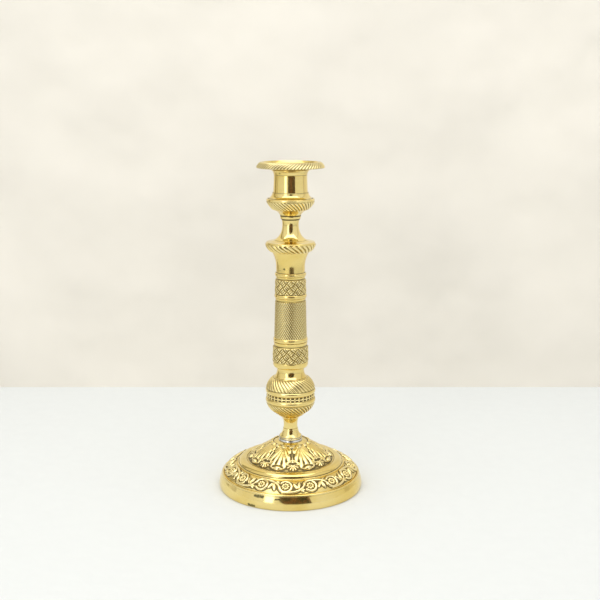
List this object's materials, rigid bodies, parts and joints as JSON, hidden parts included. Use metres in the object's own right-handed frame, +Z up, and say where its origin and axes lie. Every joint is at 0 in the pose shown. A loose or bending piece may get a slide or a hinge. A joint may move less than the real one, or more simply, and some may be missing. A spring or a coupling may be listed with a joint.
{
  "type": "candlestick",
  "caption": "Brass candlestick: stepped round base with a leaf dome, ball knop, woven and hatched column, gadrooned bowl and lift-out drip pan.",
  "frame": {"origin": "centre of the base's bottom rim, on the table", "axes": "+Z up along the stem, towards the candle; the piece is round, so +X and +Y are two level directions"},
  "size_m": [0.13, 0.13, 0.293],
  "materials": {
    "polished_brass": "polished",
    "chased_brass": "chased and burnished, dark in the recesses",
    "white_metal": "polished nickel silver",
    "iron": "oxidised wrought iron"
  },
  "bodies": {
    "stick": {"base_shell": "chased_brass", "foot_washer": "white_metal", "stem_foot": "polished_brass", "foot_spool": "polished_brass", "ball_knop": "chased_brass", "knop_neck": "polished_brass", "column": "chased_brass", "capital": "polished_brass", "capital_flange": "chased_brass", "neck_spool": "polished_brass", "socket_collar": "polished_brass", "socket_bowl": "chased_brass", "socket_barrel": "polished_brass", "tie_rod": "iron", "rod_washer": "iron", "rod_nut": "iron"},
    "drip_pan": {"drip_pan": "chased_brass", "drip_pan_sleeve": "polished_brass"}
  },
  "joints": [
    {"name": "drip_pan_lift", "type": "slide", "parent": "stick", "child": "drip_pan", "axis": [0, 0, 1], "range_m": [0, 0.045]}
  ]
}
